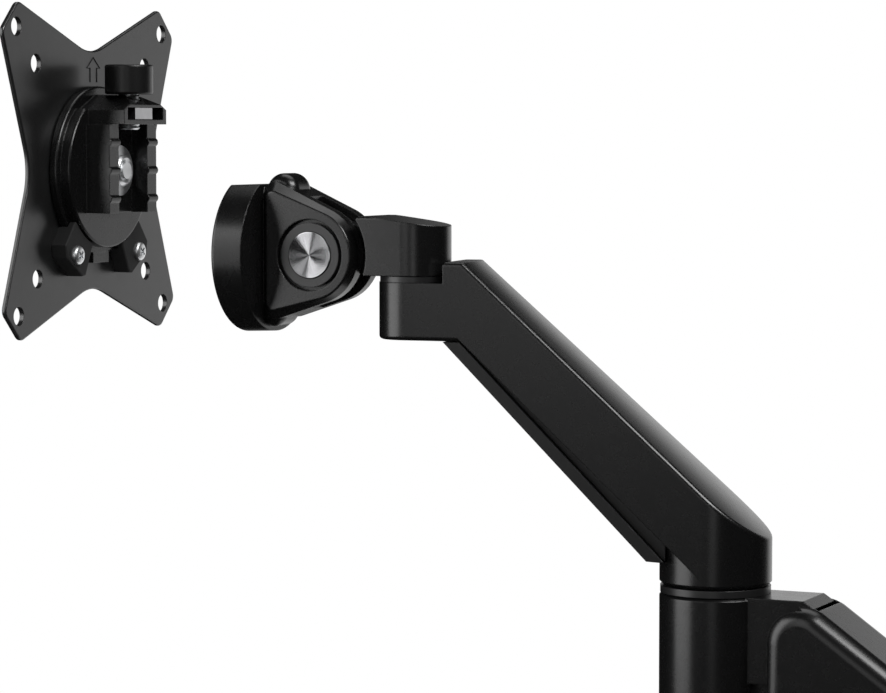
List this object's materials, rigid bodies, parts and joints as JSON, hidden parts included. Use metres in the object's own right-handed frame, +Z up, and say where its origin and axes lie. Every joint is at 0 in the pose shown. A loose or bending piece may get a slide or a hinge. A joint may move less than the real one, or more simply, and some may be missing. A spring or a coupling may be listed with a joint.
{
  "type": "monitor arm",
  "caption": "Desk-clamp monitor arm with a gas-spring lower arm, a rigid upper arm, a tilting swivel head and a quick-release screen plate shown taken off.",
  "frame": {"origin": "on the base's swivel axis, at desk-top level, on the desk pad's underside", "axes": "+Z up, the arm and its head point towards -X, Y runs across the arm"},
  "size_m": [0.5484, 0.1175, 0.5675],
  "materials": {
    "black_casting": "satin black powder coat on die-cast aluminium",
    "black_steel": "satin black powder coat",
    "plate_coat": "fine textured black powder coat",
    "black_plastic": "satin black moulding",
    "cap_ring_grey": "dark grey moulding",
    "spun_aluminium": "spun, clear coated",
    "zinc_steel": "bright zinc plate",
    "pin_steel": "ground",
    "spring_tube": "black lacquer",
    "nylon": "black nylon",
    "bronze": "sintered bronze",
    "black_rubber": "matte"
  },
  "bodies": {
    "clamp_base": {"base_plate": "black_casting", "desk_pad": "black_rubber", "base_post": "black_casting", "post_screw": "zinc_steel", "turret_washer": "nylon", "turret_screw": "zinc_steel", "clamp_bracket": "black_steel", "bracket_screws": "zinc_steel", "clamp_nut": "zinc_steel"},
    "clamp_jaw": {"pressure_plate": "black_steel", "pressure_pad": "black_rubber"},
    "clamp_screw": {"clamp_spindle": "zinc_steel", "clamp_handle": "black_plastic"},
    "turret": {"base_turret": "black_casting", "turret_cap": "black_plastic", "lower_bush": "bronze", "lower_link_pins": "pin_steel", "spring_anchor_pin": "pin_steel"},
    "spring_arm": {"lower_arm_channel": "black_steel", "lower_arm_cover": "black_casting", "lower_arm_undercover": "black_plastic", "lower_pivot_pin": "pin_steel", "upper_pivot_pin": "pin_steel", "gas_cylinder": "spring_tube", "spring_pin": "pin_steel"},
    "leveling_link": {"parallel_link": "black_steel"},
    "spring_rod": {"gas_rod": "pin_steel"},
    "hub_carrier": {"elbow_hub": "black_casting", "upper_bush": "bronze", "upper_link_pins": "pin_steel", "elbow_washer": "nylon"},
    "elbow_arm": {"upper_arm": "black_casting", "cable_cover": "black_plastic", "elbow_pin": "pin_steel", "elbow_screw": "zinc_steel", "swivel_washer": "nylon"},
    "head_link": {"swivel_link": "black_casting", "swivel_pin": "pin_steel", "swivel_screw": "zinc_steel"},
    "head": {"tilt_head": "black_casting", "dock_tongue": "black_plastic", "dock_screws": "zinc_steel", "tilt_bolt": "zinc_steel", "tilt_nut": "zinc_steel", "friction_washers": "nylon", "cap_rings": "cap_ring_grey", "cap_discs": "spun_aluminium"},
    "bracket": {"quick_release_bracket": "black_casting", "captive_nut": "zinc_steel"},
    "screen_plate": {"vesa_plate": "plate_coat", "slip_washer": "nylon", "stop_blocks": "plate_coat", "stop_screws": "zinc_steel", "plate_bolt": "zinc_steel", "plate_washer": "zinc_steel", "plate_nut": "zinc_steel"},
    "lock": {"lock_knob": "black_plastic", "lock_screw": "zinc_steel"}
  },
  "joints": [
    {"name": "clamp_travel", "type": "slide", "parent": "clamp_base", "child": "clamp_jaw", "axis": [0, 0, 1], "range_m": [-0.055, 0.015]},
    {"name": "clamp_turn", "type": "hinge", "parent": "clamp_jaw", "child": "clamp_screw", "pos_m": [0, 0, -0.1], "axis": [0, 0, 1], "range_deg": [-6660, 1860]},
    {"name": "base_swivel", "type": "hinge", "parent": "clamp_base", "child": "turret", "pos_m": [0, 0, 0.06], "axis": [0, 0, 1], "range_deg": [-90, 90]},
    {"name": "arm_lift", "type": "hinge", "parent": "turret", "child": "spring_arm", "pos_m": [-0.042, 0, 0.078], "axis": [0, 1, 0], "range_deg": [-35, 29.5]},
    {"name": "link_pivot", "type": "hinge", "parent": "turret", "child": "leveling_link", "pos_m": [-0.05167, 0, 0.06282], "axis": [0, 1, 0], "range_deg": [-35.5, 30]},
    {"name": "spring_stroke", "type": "slide", "parent": "spring_arm", "child": "spring_rod", "axis": [0.8161, 0, -0.5779], "range_m": [-0.0185, 0.0158]},
    {"name": "hub_level", "type": "hinge", "parent": "spring_arm", "child": "hub_carrier", "pos_m": [-0.22155, 0, 0.20513], "axis": [0, 1, 0], "range_deg": [-30, 35.5]},
    {"name": "elbow_swivel", "type": "hinge", "parent": "hub_carrier", "child": "elbow_arm", "pos_m": [-0.26355, 0, 0.22753], "axis": [0, 0, 1], "range_deg": [-165, 165]},
    {"name": "head_swivel", "type": "hinge", "parent": "elbow_arm", "child": "head_link", "pos_m": [-0.36751, -0.01609, 0.33013], "axis": [0, 0, 1], "range_deg": [-79, 96]},
    {"name": "tilt", "type": "hinge", "parent": "head_link", "child": "head", "pos_m": [-0.40201, -0.01609, 0.33683], "axis": [0, 1, 0], "range_deg": [-35, 50]},
    {"name": "dock", "type": "slide", "parent": "head", "child": "bracket", "axis": [0.9256, 0, -0.3785], "range_m": [0, 0.04862]},
    {"name": "plate_rotation", "type": "hinge", "parent": "bracket", "child": "screen_plate", "pos_m": [-0.49561, -0.01609, 0.36543], "axis": [1, 0, 0], "range_deg": [-8, 8]},
    {"name": "lock_turn", "type": "hinge", "parent": "bracket", "child": "lock", "pos_m": [-0.48031, -0.01609, 0.38543], "axis": [0, 0, 1], "range_deg": [-720, 180]}
  ],
  "couplings": [
    {"joint": "clamp_turn", "follows": "clamp_travel", "rad_per_m": 2094.4},
    {"joint": "link_pivot", "follows": "arm_lift", "ratio": 1},
    {"joint": "spring_stroke", "follows": "arm_lift", "m_per_rad": 0.0287},
    {"joint": "hub_level", "follows": "arm_lift", "ratio": -1}
  ]
}
